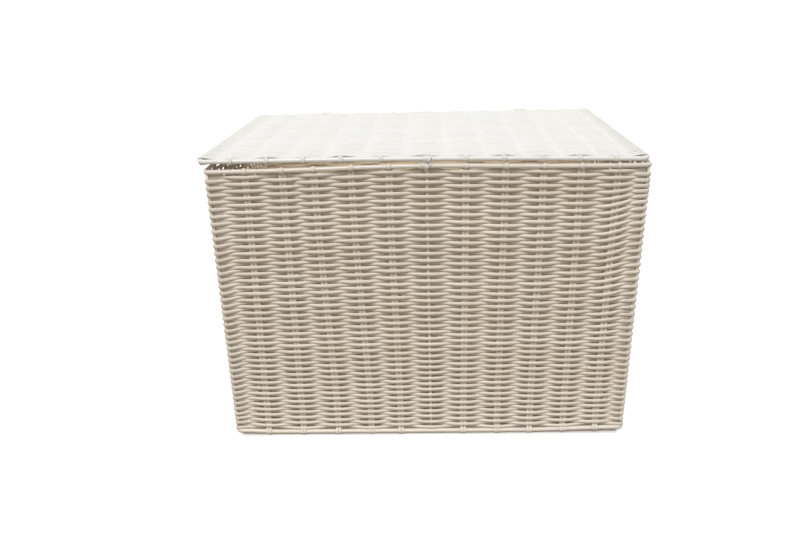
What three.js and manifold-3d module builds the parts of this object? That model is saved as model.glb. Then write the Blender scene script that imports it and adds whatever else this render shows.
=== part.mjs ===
// A rectangular wicker storage trunk with a flat hinged lid, in millimetres, +Z up.
//
// The body is a cage of coated steel rods: a bottom rim, a top rim, four corner posts and a post in
// the middle of each side. Stakes, each a strand folded double, hang between the rims and loop round
// them in an eye. The strands that are woven in and out of the stakes make the walls and the bottom.
// The lid is a rim, a middle bar, stakes and weave of the same kind, and two lashings of strand bind
// its rear rod to the rear rod of the top rim. The origin is in the middle of the footprint, on the
// floor, and the front faces -Y.

import * as THREE from "three";
import { mergeVertices } from "three/addons/utils/BufferGeometryUtils.js";
import Module from "manifold-3d";

// Driving dimensions.
const WIDTH = 594; // between the centre lines of the left and right rods
const DEPTH = 394; // between the centre lines of the front and back rods
const RIM_Z = 420; // centre line of the top rim
const ROD_R = 3; // rim rods
const POST_R = 2.3; // posts and middle bars
const RIM_CORNER_R = 8; // bend of a rim's centre line at a corner
const STRAND = 4.5; // thickness of a strand
const EYE_WALL = 1.5; // a strand is pressed flat where it loops round a rod
const LASHING_WALL = 2.6;
const LASHING_WIDTH = 24; // five turns of strand side by side
const LASHING_X = 175; // between two stakes of the body and two of the lid
const STAKE_PITCH = 50;
const GAP = 0.3; // running clearance between neighbouring pieces

// Sizes that follow from them.
const HALF_W = WIDTH / 2;
const HALF_D = DEPTH / 2;
const EYE_R = ROD_R + GAP + EYE_WALL;
const BASE_Z = EYE_R; // centre line of the bottom rim: the eyes under it stand on the floor
const LID_Z = RIM_Z + 2 * EYE_R + GAP; // the eyes of the lid rest on the eyes of the body
const STAKE_W = 2 * STRAND; // two runs of strand side by side
const STAKE_HALF_T = STRAND / 2;
const CREST = STAKE_HALF_T + GAP + STRAND; // half thickness of the weave over a stake
const TROUGH = STRAND / 2 + GAP; // half thickness of the weave midway between two stakes
const POST_INSET = RIM_CORNER_R * (1 - Math.SQRT1_2); // a corner post stands under the bend of the rim
const BOTTOM_Z = BASE_Z + 3.7; // middle plane of the woven bottom
const WALL_TOP = RIM_Z - 6.5; // the last row lies just under the eyes
const WALL_BOTTOM = BOTTOM_Z + POST_R + GAP; // the walls start over the stakes of the bottom
const SIDE_WALL_HALF = HALF_D - CREST - 0.35; // side walls end at the inner faces of the front and back
const BOTTOM_HALF_W = HALF_W - CREST - 0.5;
const BOTTOM_HALF_D = HALF_D - CREST - 0.5;
const LID_MARGIN = 8.2; // from the centre line of a lid rod to the edge of the lid's weave

const FRONT_STAKES = 11; // uprights across the front, the middle one a steel post
const SIDE_STAKES = 7;

const ROD_SIDES = 8;
const CORNER_STEPS = 4; // segments in the bend of a rim at each corner
const EYE_SIDES = 16; // flats round the outside of an eye, one of them underneath

const wasm = await Module();
wasm.setup();

const strandMaterial = new THREE.MeshStandardMaterial({ color: 0xe4d9c6, roughness: 0.55, metalness: 0 });
const stakeMaterial = new THREE.MeshStandardMaterial({ color: 0xd9ccb6, roughness: 0.55, metalness: 0 });
const rodMaterial = new THREE.MeshStandardMaterial({ color: 0xe6e0d4, roughness: 0.4, metalness: 0.1 });
const lashingMaterial = new THREE.MeshStandardMaterial({ color: 0xe9dfce, roughness: 0.5, metalness: 0 });

const trunk = new THREE.Group();

function place(name, geometry, material, x = 0, y = 0, z = 0, parent = trunk) {
  const mesh = new THREE.Mesh(geometry, material);
  mesh.name = name;
  mesh.position.set(x, y, z);
  parent.add(mesh);
  return mesh;
}

// Places of the stakes along a side. Its middle upright is a steel post or bar and is left out.
function stakesOnly(count) {
  const uprights = Array.from({ length: count }, (_, i) => (i - (count - 1) / 2) * STAKE_PITCH);
  return uprights.filter((u) => u !== 0);
}

// --- Solids joined with manifold-3d -------------------------------------------------------------

function solidOf(geometry) {
  const bare = geometry.clone();
  bare.deleteAttribute("normal");
  bare.deleteAttribute("uv");
  const merged = mergeVertices(bare, 1e-4);
  return new wasm.Manifold(
    new wasm.Mesh({
      numProp: 3,
      vertProperties: merged.attributes.position.array,
      triVerts: new Uint32Array(merged.index.array),
    }),
  );
}

function geometryOf(solid) {
  const mesh = solid.getMesh();
  const geometry = new THREE.BufferGeometry();
  geometry.setAttribute("position", new THREE.BufferAttribute(mesh.vertProperties, 3));
  geometry.setIndex(new THREE.BufferAttribute(mesh.triVerts, 1));
  return geometry;
}

// A hole for a rod of radius r, in the section of another piece.
function clearanceHole(cx, cy, r) {
  const reach = (r + GAP) / Math.cos(Math.PI / ROD_SIDES);
  const points = Array.from({ length: ROD_SIDES }, (_, k) => {
    const angle = ((k + 0.5) / ROD_SIDES) * 2 * Math.PI;
    return new THREE.Vector2(cx + reach * Math.cos(angle), cy + reach * Math.sin(angle));
  });
  return new THREE.Path(points);
}

// --- Rods ----------------------------------------------------------------------------------------

// Centre line of a rim in plan, as points with the outward direction at each.
function rimPath() {
  const path = [];
  const corners = [
    [1, 1],
    [-1, 1],
    [-1, -1],
    [1, -1],
  ];
  corners.forEach(([sx, sy], quarter) => {
    const cx = sx * (HALF_W - RIM_CORNER_R);
    const cy = sy * (HALF_D - RIM_CORNER_R);
    for (let i = 0; i <= CORNER_STEPS; i++) {
      const angle = (quarter + i / CORNER_STEPS) * (Math.PI / 2);
      const out = new THREE.Vector2(Math.cos(angle), Math.sin(angle));
      path.push({ x: cx + RIM_CORNER_R * out.x, y: cy + RIM_CORNER_R * out.y, out });
    }
  });
  return path;
}

// A rod bent into a closed rim, its ends butted and welded.
function rimGeometry() {
  const path = rimPath();
  const positions = [];
  const index = [];
  for (const { x, y, out } of path) {
    for (let k = 0; k < ROD_SIDES; k++) {
      const angle = (k / ROD_SIDES) * 2 * Math.PI;
      const across = ROD_R * Math.cos(angle);
      positions.push(x + across * out.x, y + across * out.y, ROD_R * Math.sin(angle));
    }
  }
  for (let i = 0; i < path.length; i++) {
    const next = (i + 1) % path.length;
    for (let k = 0; k < ROD_SIDES; k++) {
      const k2 = (k + 1) % ROD_SIDES;
      const a = i * ROD_SIDES + k;
      const b = next * ROD_SIDES + k;
      const c = next * ROD_SIDES + k2;
      const d = i * ROD_SIDES + k2;
      index.push(a, b, c, a, c, d);
    }
  }
  const geometry = new THREE.BufferGeometry();
  geometry.setAttribute("position", new THREE.Float32BufferAttribute(positions, 3));
  geometry.setIndex(index);
  return geometry;
}

function addRims() {
  place("bottom_rim_rod", rimGeometry(), rodMaterial, 0, 0, BASE_Z);
  place("top_rim_rod", rimGeometry(), rodMaterial, 0, 0, RIM_Z);
}

// A round post welded upright between the two rims.
function addPost(name, x, y) {
  const length = RIM_Z - BASE_Z - 2 * (ROD_R + GAP);
  const geometry = new THREE.CylinderGeometry(POST_R, POST_R, length, ROD_SIDES);
  geometry.rotateX(Math.PI / 2);
  place(name, geometry, rodMaterial, x, y, (RIM_Z + BASE_Z) / 2);
}

function addPosts() {
  const x = HALF_W - POST_INSET;
  const y = HALF_D - POST_INSET;
  addPost("corner_post_front_left", -x, -y);
  addPost("corner_post_front_right", x, -y);
  addPost("corner_post_back_left", -x, y);
  addPost("corner_post_back_right", x, y);
  addPost("front_middle_post", 0, -HALF_D);
  addPost("back_middle_post", 0, HALF_D);
  addPost("left_middle_post", -HALF_W, 0);
  addPost("right_middle_post", HALF_W, 0);
}

// A round bar from front to back, ending at the rods on both sides.
function addMiddleBar(name, z, parent) {
  const length = DEPTH - 2 * (ROD_R + GAP);
  const geometry = new THREE.CylinderGeometry(POST_R, POST_R, length, ROD_SIDES);
  place(name, geometry, rodMaterial, 0, 0, z, parent);
}

// --- Stakes --------------------------------------------------------------------------------------

// Half of an eye's outline, from the middle of its outer end round to the mouth, where it meets the
// straight run of the strand above it. The eye is centred on the rod.
function eyeSide() {
  const reach = EYE_R / Math.cos(Math.PI / EYE_SIDES);
  const points = [];
  for (let k = 0.5; k < EYE_SIDES / 2 - 1; k++) {
    const angle = (k / EYE_SIDES) * 2 * Math.PI;
    points.push([reach * Math.sin(angle), -reach * Math.cos(angle)]);
  }
  const slope = (2 * Math.PI) / EYE_SIDES;
  points.push([STAKE_HALF_T, (EYE_R - STAKE_HALF_T * Math.sin(slope)) / Math.cos(slope)]);
  return points;
}

// Side view of a strand folded double between two rods that are `span` apart: a straight run with an
// eye round the rod at each end. The lower rod is at the origin.
function stakeOutline(span) {
  const lower = eyeSide();
  const upper = lower.map(([y, z]) => [y, span - z]).reverse();
  const right = [...lower, ...upper];
  const left = right.map(([y, z]) => [-y, z]).reverse();
  const shape = new THREE.Shape([...right, ...left].map(([y, z]) => new THREE.Vector2(y, z)));
  shape.holes.push(clearanceHole(0, 0, ROD_R), clearanceHole(0, span, ROD_R));
  return shape;
}

// A stake standing in the YZ plane, its width along X.
function stakeGeometry(span) {
  const geometry = new THREE.ExtrudeGeometry(stakeOutline(span), { depth: STAKE_W, bevelEnabled: false });
  geometry.translate(0, 0, -STAKE_W / 2);
  const axes = [new THREE.Vector3(0, 1, 0), new THREE.Vector3(0, 0, 1), new THREE.Vector3(1, 0, 0)];
  geometry.applyMatrix4(new THREE.Matrix4().makeBasis(...axes));
  return geometry;
}

// A stake that runs down the front wall, across under the bottom's weave and up the back wall.
function longStakeGeometry() {
  const front = stakeGeometry(RIM_Z - BASE_Z).translate(0, -HALF_D, BASE_Z);
  const back = stakeGeometry(RIM_Z - BASE_Z).translate(0, HALF_D, BASE_Z);
  const bottomLength = DEPTH - 2 * (ROD_R + 2 * GAP);
  const bottom = new THREE.BoxGeometry(STAKE_W, bottomLength, STRAND).translate(0, 0, BOTTOM_Z);
  return geometryOf(solidOf(front).add(solidOf(back)).add(solidOf(bottom)));
}

function addBodyStakes() {
  stakesOnly(FRONT_STAKES).forEach((x, i) => {
    place(`long_stake_${i + 1}`, longStakeGeometry(), stakeMaterial, x);
  });
  for (const [side, x] of [["left", -HALF_W], ["right", HALF_W]]) {
    stakesOnly(SIDE_STAKES).forEach((y, i) => {
      const geometry = stakeGeometry(RIM_Z - BASE_Z);
      const mesh = place(`${side}_stake_${i + 1}`, geometry, stakeMaterial, x, y, BASE_Z);
      mesh.rotation.z = Math.PI / 2;
    });
  }
}

// --- Weave ---------------------------------------------------------------------------------------

// Section across a woven panel between -half and half: thick where strands pass over an upright and
// thin midway between two uprights. `endThickness` is half the thickness at both ends.
function weaveSection(half, crests, endThickness) {
  const flat = STAKE_W / 2;
  const reach = STAKE_PITCH / 2;
  const profile = [[-half, endThickness]];
  crests.forEach((u, i) => {
    if (i > 0) profile.push([(crests[i - 1] + u) / 2, TROUGH]);
    else if (u + half > reach) profile.push([u - reach, TROUGH]);
    profile.push([u - flat, CREST], [u + flat, CREST]);
    if (i === crests.length - 1 && half - u > reach) profile.push([u + reach, TROUGH]);
  });
  profile.push([half, endThickness]);
  const outline = [...profile, ...profile.map(([u, v]) => [u, -v]).reverse()];
  return new THREE.Shape(outline.map(([u, v]) => new THREE.Vector2(u, v)));
}

// Channels that the stakes and posts leave in a panel of the given length.
function stakeChannel(u, length) {
  const w = STAKE_W + 2 * GAP;
  const t = STRAND + 2 * GAP;
  return solidOf(new THREE.BoxGeometry(w, t, length + 2).translate(u, 0, length / 2));
}

function postChannel(u, v, length) {
  const r = (POST_R + GAP) / Math.cos(Math.PI / ROD_SIDES);
  const channel = new THREE.CylinderGeometry(r, r, length + 2, ROD_SIDES);
  return solidOf(channel.rotateX(Math.PI / 2).translate(u, v, length / 2));
}

// A woven panel standing on z = 0, with a channel for each stake at u and each post at [u, v].
function weaveGeometry({ half, length, stakes, posts, endThickness }) {
  const crests = [...stakes, ...posts.map(([u]) => u)].sort((a, b) => a - b);
  const section = weaveSection(half, crests, endThickness);
  let panel = solidOf(new THREE.ExtrudeGeometry(section, { depth: length, bevelEnabled: false }));
  for (const u of stakes) panel = panel.subtract(stakeChannel(u, length));
  for (const [u, v] of posts) panel = panel.subtract(postChannel(u, v, length));
  return geometryOf(panel);
}

function addWalls() {
  const length = WALL_TOP - WALL_BOTTOM;
  const cornerU = HALF_W - POST_INSET;
  const endThickness = CREST - 2;
  for (const [name, side] of [["front_weave", -1], ["back_weave", 1]]) {
    const inward = -side * POST_INSET;
    const posts = [[-cornerU, inward], [0, 0], [cornerU, inward]];
    const half = cornerU + CREST;
    const geometry = weaveGeometry({ half, length, stakes: stakesOnly(FRONT_STAKES), posts, endThickness });
    place(name, geometry, strandMaterial, 0, side * HALF_D, WALL_BOTTOM);
  }
  for (const [name, side] of [["left_weave", -1], ["right_weave", 1]]) {
    const stakes = stakesOnly(SIDE_STAKES);
    const geometry = weaveGeometry({ half: SIDE_WALL_HALF, length, stakes, posts: [[0, 0]], endThickness });
    const mesh = place(name, geometry, strandMaterial, side * HALF_W, 0, WALL_BOTTOM);
    mesh.rotation.z = Math.PI / 2;
  }
}

// A woven panel lying level, its stakes running from front to back.
function addLevelWeave(name, half, halfDepth, z, parent) {
  const stakes = stakesOnly(FRONT_STAKES);
  const length = 2 * halfDepth;
  const geometry = weaveGeometry({ half, length, stakes, posts: [[0, 0]], endThickness: TROUGH });
  const mesh = place(name, geometry, strandMaterial, 0, halfDepth, z, parent);
  mesh.rotation.x = Math.PI / 2;
}

// --- Lid and hinge -------------------------------------------------------------------------------

function addLid() {
  const lid = new THREE.Group();
  trunk.add(lid);
  place("lid_rim_rod", rimGeometry(), rodMaterial, 0, 0, LID_Z, lid);
  addMiddleBar("lid_middle_bar", LID_Z, lid);
  stakesOnly(FRONT_STAKES).forEach((x, i) => {
    const mesh = place(`lid_stake_${i + 1}`, stakeGeometry(DEPTH), stakeMaterial, x, HALF_D, LID_Z, lid);
    mesh.rotation.x = Math.PI / 2;
  });
  addLevelWeave("lid_weave", HALF_W - LID_MARGIN, HALF_D - LID_MARGIN, LID_Z, lid);
}

// Outline of a loop drawn round the two rear rods, r from the centre line of each.
function loopPoints(r) {
  const points = [];
  for (const [z, from] of [[LID_Z - RIM_Z, 0], [0, Math.PI]]) {
    for (let i = 0; i <= ROD_SIDES; i++) {
      const angle = from + (i / ROD_SIDES) * Math.PI;
      points.push(new THREE.Vector2(r * Math.cos(angle), z + r * Math.sin(angle)));
    }
  }
  return points;
}

// Strand wound round the rear rod of the body and the rear rod of the lid: the lid turns inside it.
function addLashing(name, x) {
  const shape = new THREE.Shape(loopPoints(ROD_R + 2 * GAP + LASHING_WALL));
  shape.holes.push(new THREE.Path(loopPoints(ROD_R + 2 * GAP)));
  const geometry = new THREE.ExtrudeGeometry(shape, { depth: LASHING_WIDTH, bevelEnabled: false });
  geometry.translate(0, 0, -LASHING_WIDTH / 2);
  const axes = [new THREE.Vector3(0, 1, 0), new THREE.Vector3(0, 0, 1), new THREE.Vector3(1, 0, 0)];
  geometry.applyMatrix4(new THREE.Matrix4().makeBasis(...axes));
  place(name, geometry, lashingMaterial, x, HALF_D, RIM_Z);
}

addRims();
addPosts();
addMiddleBar("bottom_middle_bar", BOTTOM_Z, trunk);
addBodyStakes();
addWalls();
addLevelWeave("bottom_weave", BOTTOM_HALF_W, BOTTOM_HALF_D, BOTTOM_Z, trunk);
addLid();
addLashing("hinge_lashing_left", -LASHING_X);
addLashing("hinge_lashing_right", LASHING_X);

export default trunk;
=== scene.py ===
# The looks of a wicker storage trunk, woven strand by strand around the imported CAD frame.
# Lengths are millimetres, and every mesh is written in metres.
import math

import bpy
import numpy as np
from mathutils import Matrix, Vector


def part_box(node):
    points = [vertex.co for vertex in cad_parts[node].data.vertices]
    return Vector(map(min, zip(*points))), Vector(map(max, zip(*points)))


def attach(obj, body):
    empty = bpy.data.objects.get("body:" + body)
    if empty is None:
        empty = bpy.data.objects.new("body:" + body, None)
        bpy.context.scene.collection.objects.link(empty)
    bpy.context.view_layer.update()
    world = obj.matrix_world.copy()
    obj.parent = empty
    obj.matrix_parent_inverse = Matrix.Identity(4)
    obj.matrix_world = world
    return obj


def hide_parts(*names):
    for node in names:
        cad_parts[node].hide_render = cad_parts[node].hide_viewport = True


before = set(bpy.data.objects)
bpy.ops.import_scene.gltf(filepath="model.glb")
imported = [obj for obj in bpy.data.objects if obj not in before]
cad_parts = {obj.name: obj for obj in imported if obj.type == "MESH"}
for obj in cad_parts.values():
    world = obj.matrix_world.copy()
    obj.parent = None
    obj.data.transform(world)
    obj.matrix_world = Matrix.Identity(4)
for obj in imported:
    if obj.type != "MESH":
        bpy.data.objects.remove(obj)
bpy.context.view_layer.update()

MM = 1000.0
RANDOM = np.random.default_rng(7)

# --- Sizes, read from the frame ------------------------------------------------------------------


def node_box(name):
    low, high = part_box(name)
    return np.array(low) * MM, np.array(high) * MM


def node_centre(name):
    low, high = node_box(name)
    return (low + high) / 2


rim_low, rim_high = node_box("top_rim_rod")
FRAME_ROD_R = (rim_high[2] - rim_low[2]) / 2
ROD_R = FRAME_ROD_R + 0.3  # with a thick coat
SPREAD = 2.3  # how much farther out the trunk's sides stand than the frame's
HALF_W = rim_high[0] - FRAME_ROD_R + SPREAD
HALF_D = rim_high[1] - FRAME_ROD_R
RIM_Z = node_centre("top_rim_rod")[2]
BASE_Z = node_centre("bottom_rim_rod")[2]
LID_Z = node_centre("lid_rim_rod")[2]
BOTTOM_Z = node_centre("bottom_middle_bar")[2]
POST_R = (node_box("front_middle_post")[1] - node_box("front_middle_post")[0])[0] / 2
POST_INSET = HALF_D - node_centre("corner_post_back_right")[1]
CORNER_R = POST_INSET / (1 - math.sqrt(0.5))  # bend of a rim's centre line
STAKE_PITCH = node_centre("long_stake_2")[0] - node_centre("long_stake_1")[0]
BOTTOM_REACH = node_box("bottom_weave")[1]

# --- Sizes of the strand and the weave -----------------------------------------------------------

STRAND_WIDE = 2.85  # half width of a strand where it passes an upright, and is squeezed flat
INNER_WIDE = 4.2  # the same where it passes on the inside
LID_WIDE = 3.4  # and where it passes on top of the lid
STRAND_THICK = 1.8
CROSS_WIDE = 2.62  # and between uprights, where it crosses its neighbours
CROSS_THICK = 2.2
CORNER_THICK = 0.9  # half its thickness where it turns round a corner post
STAKE_WIDE = 2.65
STAKE_THICK = 1.7
RIM_WIDE = 2.85  # half width of a stake's strand round the rod of the rim
BASE_WIDE = 2.15  # and under the lower rod
PRESSED = 0.6  # half thickness of a strand where it is pulled tight round a rod
SQUARE = 0.6  # how square a stake's section is
WALL_ROWS = 82
LEVEL_ROWS = 78  # rows across the lid, and across the bottom
LONG_STAKES = 10
SIDE_STAKES = 6
LONG_UPRIGHTS = LONG_STAKES + 1  # the stakes of a long wall and its middle post
SIDE_UPRIGHTS = SIDE_STAKES + 1
WALL_INSET = 3.0  # from a rim's centre line inwards to the plane of the stakes
PASS = STAKE_THICK + STRAND_THICK  # from the stakes' plane to a strand that passes one
SAMPLE = 4.25  # step along a weaving strand
STRAND_SIDES = 8
ROD_SIDES = 14

# How far each upright of the front stands from its even place, at the rim and at the base, and the
# same for the uprights of the lid.
FRONT_LEAN_TOP = [5, 5.5, -1.5, -1, 0, 1, 4, 7, 8, 8, 7]
FRONT_LEAN_BASE = [1, 5.5, 10.5, 12, 8, 4.5, 4.5, 6.5, 6.5, 8, 7.5]
LID_LEAN = [-6, -7, -8, -7, -4, 5, 10, 10, 12, 11, 8]
MIDDLE = LONG_UPRIGHTS // 2  # number of the middle post or bar in these lists


def smooth(low, high, value):
    t = np.clip((value - low) / (high - low), 0, 1)
    return t * t * (3 - 2 * t)


# --- Warps: what hands and use have done to the even shape ---------------------------------------

RIM_BOW = 3.9  # how far the front rim bows up
BOW_MIDDLE = -15.0  # where along the rim it does so most
BOW_REACH = 148.0
RIM_DROP = 0.9  # how far it sinks at its ends
CURL_RIGHT = 3.6  # how far the front of the base curls up at its right end
CURL_LEFT = 2.3
CURL_RIGHT_START = 150.0  # distance from the middle where the curl starts
CURL_LEFT_START = 230.0
CURL_END = 290.0
LID_SKEW = 6.0  # how far the lid's front has slewed
LID_LIFT = 3.5  # how far its left front corner stands open
LID_DROP = 5.6  # how much lower its right front corner is
LID_DROP_START = -130.0  # from left to right, where the front begins to fall and where it ends
LID_DROP_END = 288.0
LID_DROP_POWER = 1.7


def front_share(y):
    """0 at the back of the trunk and 1 at its front."""
    return np.clip((HALF_D - y) / (2 * HALF_D), 0, 1)


def warp_body(points):
    """The front rim bows up in the middle and sinks at its ends, and the base curls up at its ends."""
    x, y, z = points.T
    bow = RIM_BOW * np.exp(-((x - BOW_MIDDLE) / BOW_REACH) ** 2)
    right = CURL_RIGHT * smooth(CURL_RIGHT_START, CURL_END, x)
    left = CURL_LEFT * smooth(CURL_LEFT_START, CURL_END, -x)
    height = z / RIM_Z
    lift = (bow - RIM_DROP) * height ** 2 + (right + left) * (1 - height) ** 2
    return np.column_stack([x, y, z + lift * front_share(y)])


def warp_lid(points):
    """The lid has slewed to the left, and stands open a little at its left front corner."""
    x, y, z = points.T
    share = front_share(y)
    place = np.clip((x - LID_DROP_START) / (LID_DROP_END - LID_DROP_START), 0, 1)
    drop = LID_DROP * place ** LID_DROP_POWER
    return np.column_stack([x - LID_SKEW * share, y, z + (LID_LIFT - drop) * share])


# --- Tubes ---------------------------------------------------------------------------------------


def unit(vectors):
    return vectors / np.linalg.norm(vectors, axis=-1, keepdims=True)


class Bundle:
    """Strands and rods joined into one mesh, each a tube with an oval section along a path."""

    def __init__(self):
        self.points = []
        self.loops = []
        self.sizes = []
        self.smooth = []
        self.strand = []
        self.tone = []
        self.count = 0

    def add(self, path, side, wide, thick, sides=STRAND_SIDES, closed=False, tone=0.5, ends=None,
            square=1.0):
        """`side` is the direction of the section's width, and `ends` gives the path's directions at
        its ends. `square` below 1 makes the section squarer than an oval."""
        path = np.asarray(path, float)
        n = len(path)
        if closed:
            along = np.roll(path, -1, 0) - np.roll(path, 1, 0)
        else:
            along = np.gradient(path, axis=0)
            if ends is not None:
                along[0], along[-1] = ends
        along = unit(along)
        side = np.broadcast_to(np.asarray(side, float), path.shape)
        side = unit(side - np.sum(side * along, 1, keepdims=True) * along)
        up = np.cross(along, side)
        wide = np.broadcast_to(wide, n)[:, None, None]
        thick = np.broadcast_to(thick, n)[:, None, None]
        angle = np.arange(sides) / sides * 2 * math.pi
        c, s = np.cos(angle), np.sin(angle)
        c, s = np.sign(c) * abs(c) ** square, np.sign(s) * abs(s) ** square
        c, s = c[None, :, None], s[None, :, None]
        rings = path[:, None] + wide * c * side[:, None] + thick * s * up[:, None]
        length = np.concatenate([[0], np.cumsum(np.linalg.norm(np.diff(path, axis=0), axis=1))])

        i = np.arange(n if closed else n - 1)[:, None]
        k = np.arange(sides)[None, :]
        j, m = (i + 1) % n, (k + 1) % sides
        quads = np.stack([i * sides + k, i * sides + m, j * sides + m, j * sides + k], -1)
        self.loops.append(quads.reshape(-1) + self.count)
        self.sizes.append(np.full(quads.shape[0] * sides, 4))
        self.smooth.append(np.ones(quads.shape[0] * sides, bool))
        if not closed:
            last = (n - 1) * sides
            self.loops.append(np.arange(sides)[::-1] + self.count)
            self.loops.append(np.arange(sides) + last + self.count)
            self.sizes.append(np.full(2, sides))
            self.smooth.append(np.zeros(2, bool))
        self.points.append(rings.reshape(-1, 3))
        place = np.empty((n, sides, 3))
        place[..., 0] = length[:, None] / MM
        place[..., 1] = np.cos(angle)
        place[..., 2] = np.sin(angle)
        self.strand.append(place.reshape(-1, 3))
        self.tone.append(np.repeat(np.broadcast_to(tone, n), sides))
        self.count += n * sides

    def mesh(self, name):
        points = np.concatenate(self.points) / MM
        loops = np.concatenate(self.loops)
        sizes = np.concatenate(self.sizes)
        mesh = bpy.data.meshes.new(name)
        mesh.vertices.add(len(points))
        mesh.vertices.foreach_set("co", points.astype(np.float32).ravel())
        mesh.loops.add(len(loops))
        mesh.loops.foreach_set("vertex_index", loops.astype(np.int32))
        mesh.polygons.add(len(sizes))
        mesh.polygons.foreach_set("loop_start", (np.cumsum(sizes) - sizes).astype(np.int32))
        mesh.polygons.foreach_set("use_smooth", np.concatenate(self.smooth))
        strand = mesh.attributes.new("strand", "FLOAT_VECTOR", "POINT")
        strand.data.foreach_set("vector", np.concatenate(self.strand).astype(np.float32).ravel())
        tone = mesh.attributes.new("tone", "FLOAT", "POINT")
        tone.data.foreach_set("value", np.concatenate(self.tone).astype(np.float32))
        mesh.update(calc_edges=True)
        return mesh


def piece(name, bundle, material, body, slot, *nodes):
    obj = bpy.data.objects.new(name, bundle.mesh(name))
    obj.data.materials.append(material)
    bpy.context.scene.collection.objects.link(obj)
    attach(obj, body)
    if nodes:
        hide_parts(*nodes)


# --- Materials -----------------------------------------------------------------------------------

WARM_TINT = (1.0, 0.965, 0.93)  # the two ends of the strands' blotches
COOL_TINT = (0.975, 0.995, 1.0)
BUMP_DEPTH = 0.0004  # metres


def new_material(name):
    material = bpy.data.materials.new(name)
    material.use_nodes = True
    return material, material.node_tree.nodes, material.node_tree.links


def noise(material, vector, scale, detail):
    node = material.node_tree.nodes.new("ShaderNodeTexNoise")
    node.inputs["Scale"].default_value = scale
    node.inputs["Detail"].default_value = detail
    material.node_tree.links.new(vector, node.inputs["Vector"])
    return node.outputs["Fac"]


def mapped(owner, value, low, high, from_low=0.0, from_high=1.0):
    """A value that goes from `low` to `high` while the one given goes from `from_low` to `from_high`."""
    node = owner.node_tree.nodes.new("ShaderNodeMapRange")
    node.inputs["From Min"].default_value = from_low
    node.inputs["From Max"].default_value = from_high
    node.inputs["To Min"].default_value = low
    node.inputs["To Max"].default_value = high
    owner.node_tree.links.new(value, node.inputs["Value"])
    return node.outputs["Result"]


def mixed(material, factor, low, high):
    node = material.node_tree.nodes.new("ShaderNodeMix")
    node.data_type = "RGBA"
    node.inputs["A"].default_value = (*low, 1)
    node.inputs["B"].default_value = (*high, 1)
    material.node_tree.links.new(factor, node.inputs["Factor"])
    return node.outputs["Result"]


def vector_math(material, operation, first, second, second_name=1):
    """Joins two vectors, or with "SCALE" a vector and a number, which goes into its own input."""
    node = material.node_tree.nodes.new("ShaderNodeVectorMath")
    node.operation = operation
    material.node_tree.links.new(first, node.inputs[0])
    material.node_tree.links.new(second, node.inputs[second_name])
    return node.outputs["Vector"]


def add_bump(material, height, strength):
    node = material.node_tree.nodes.new("ShaderNodeBump")
    node.inputs["Strength"].default_value = strength
    node.inputs["Distance"].default_value = BUMP_DEPTH
    material.node_tree.links.new(height, node.inputs["Height"])
    shader = material.node_tree.nodes["Principled BSDF"]
    material.node_tree.links.new(node.outputs["Normal"], shader.inputs["Normal"])


def strand_material(name, dark, light, roughness):
    """Extruded cream strand: each length its own tone, faint lines along it and soft blotches."""
    material, nodes, links = new_material(name)
    shader = nodes["Principled BSDF"]
    tone = nodes.new("ShaderNodeAttribute")
    tone.attribute_name = "tone"
    strand = nodes.new("ShaderNodeAttribute")
    strand.attribute_name = "strand"

    stretch = nodes.new("ShaderNodeMapping")
    stretch.inputs["Scale"].default_value = (30, 2.6, 2.6)
    links.new(strand.outputs["Vector"], stretch.inputs["Vector"])
    shift = nodes.new("ShaderNodeVectorMath")
    shift.operation = "SCALE"
    shift.inputs[0].default_value = (37, 11, 5)
    links.new(tone.outputs["Fac"], shift.inputs["Scale"])
    place = vector_math(material, "ADD", stretch.outputs["Vector"], shift.outputs["Vector"])
    lines = noise(material, place, 1.0, 3.0)
    where = nodes.new("ShaderNodeTexCoord")
    blotch = noise(material, where.outputs["Object"], 14.0, 2.0)

    base = mixed(material, tone.outputs["Fac"], dark, light)
    shade = mapped(material, lines, 0.93, 1.03, 0.3, 0.7)
    lit = vector_math(material, "SCALE", base, shade, "Scale")
    tint = mixed(material, blotch, WARM_TINT, COOL_TINT)
    links.new(vector_math(material, "MULTIPLY", lit, tint), shader.inputs["Base Color"])
    gloss = mapped(material, lines, roughness - 0.08, roughness + 0.1)
    links.new(gloss, shader.inputs["Roughness"])
    add_bump(material, lines, 0.25)
    return material


def rod_material(name, dark, light):
    """Smooth ivory coat over steel, with slow colour drift and small dips from the coating bath."""
    material, nodes, links = new_material(name)
    shader = nodes["Principled BSDF"]
    shader.inputs["Coat Weight"].default_value = 0.3
    shader.inputs["Coat Roughness"].default_value = 0.25
    where = nodes.new("ShaderNodeTexCoord")
    drift = noise(material, where.outputs["Object"], 22.0, 3.0)
    dips = noise(material, where.outputs["Object"], 260.0, 2.0)
    links.new(mixed(material, drift, dark, light), shader.inputs["Base Color"])
    links.new(mapped(material, drift, 0.3, 0.5), shader.inputs["Roughness"])
    add_bump(material, dips, 0.15)
    return material


WEAVE = strand_material("weave_strand", (0.75, 0.68, 0.585), (0.83, 0.765, 0.675), 0.42)
# The lid's strand is a paler, cooler copy of the wall strand: painted light from above. The lid's binding
# uses it too.
LID_WEAVE_PAINTED_LIT = strand_material("lid_strand_painted_light", (0.81, 0.80, 0.775), (0.85, 0.845, 0.82), 0.65)
# The stake strand is a little lighter than the wall strand: painted light on the stakes, which stand
# recessed behind the passing rows.
STAKE = strand_material("stake_strand", (0.78, 0.715, 0.62), (0.84, 0.78, 0.69), 0.5)
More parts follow.
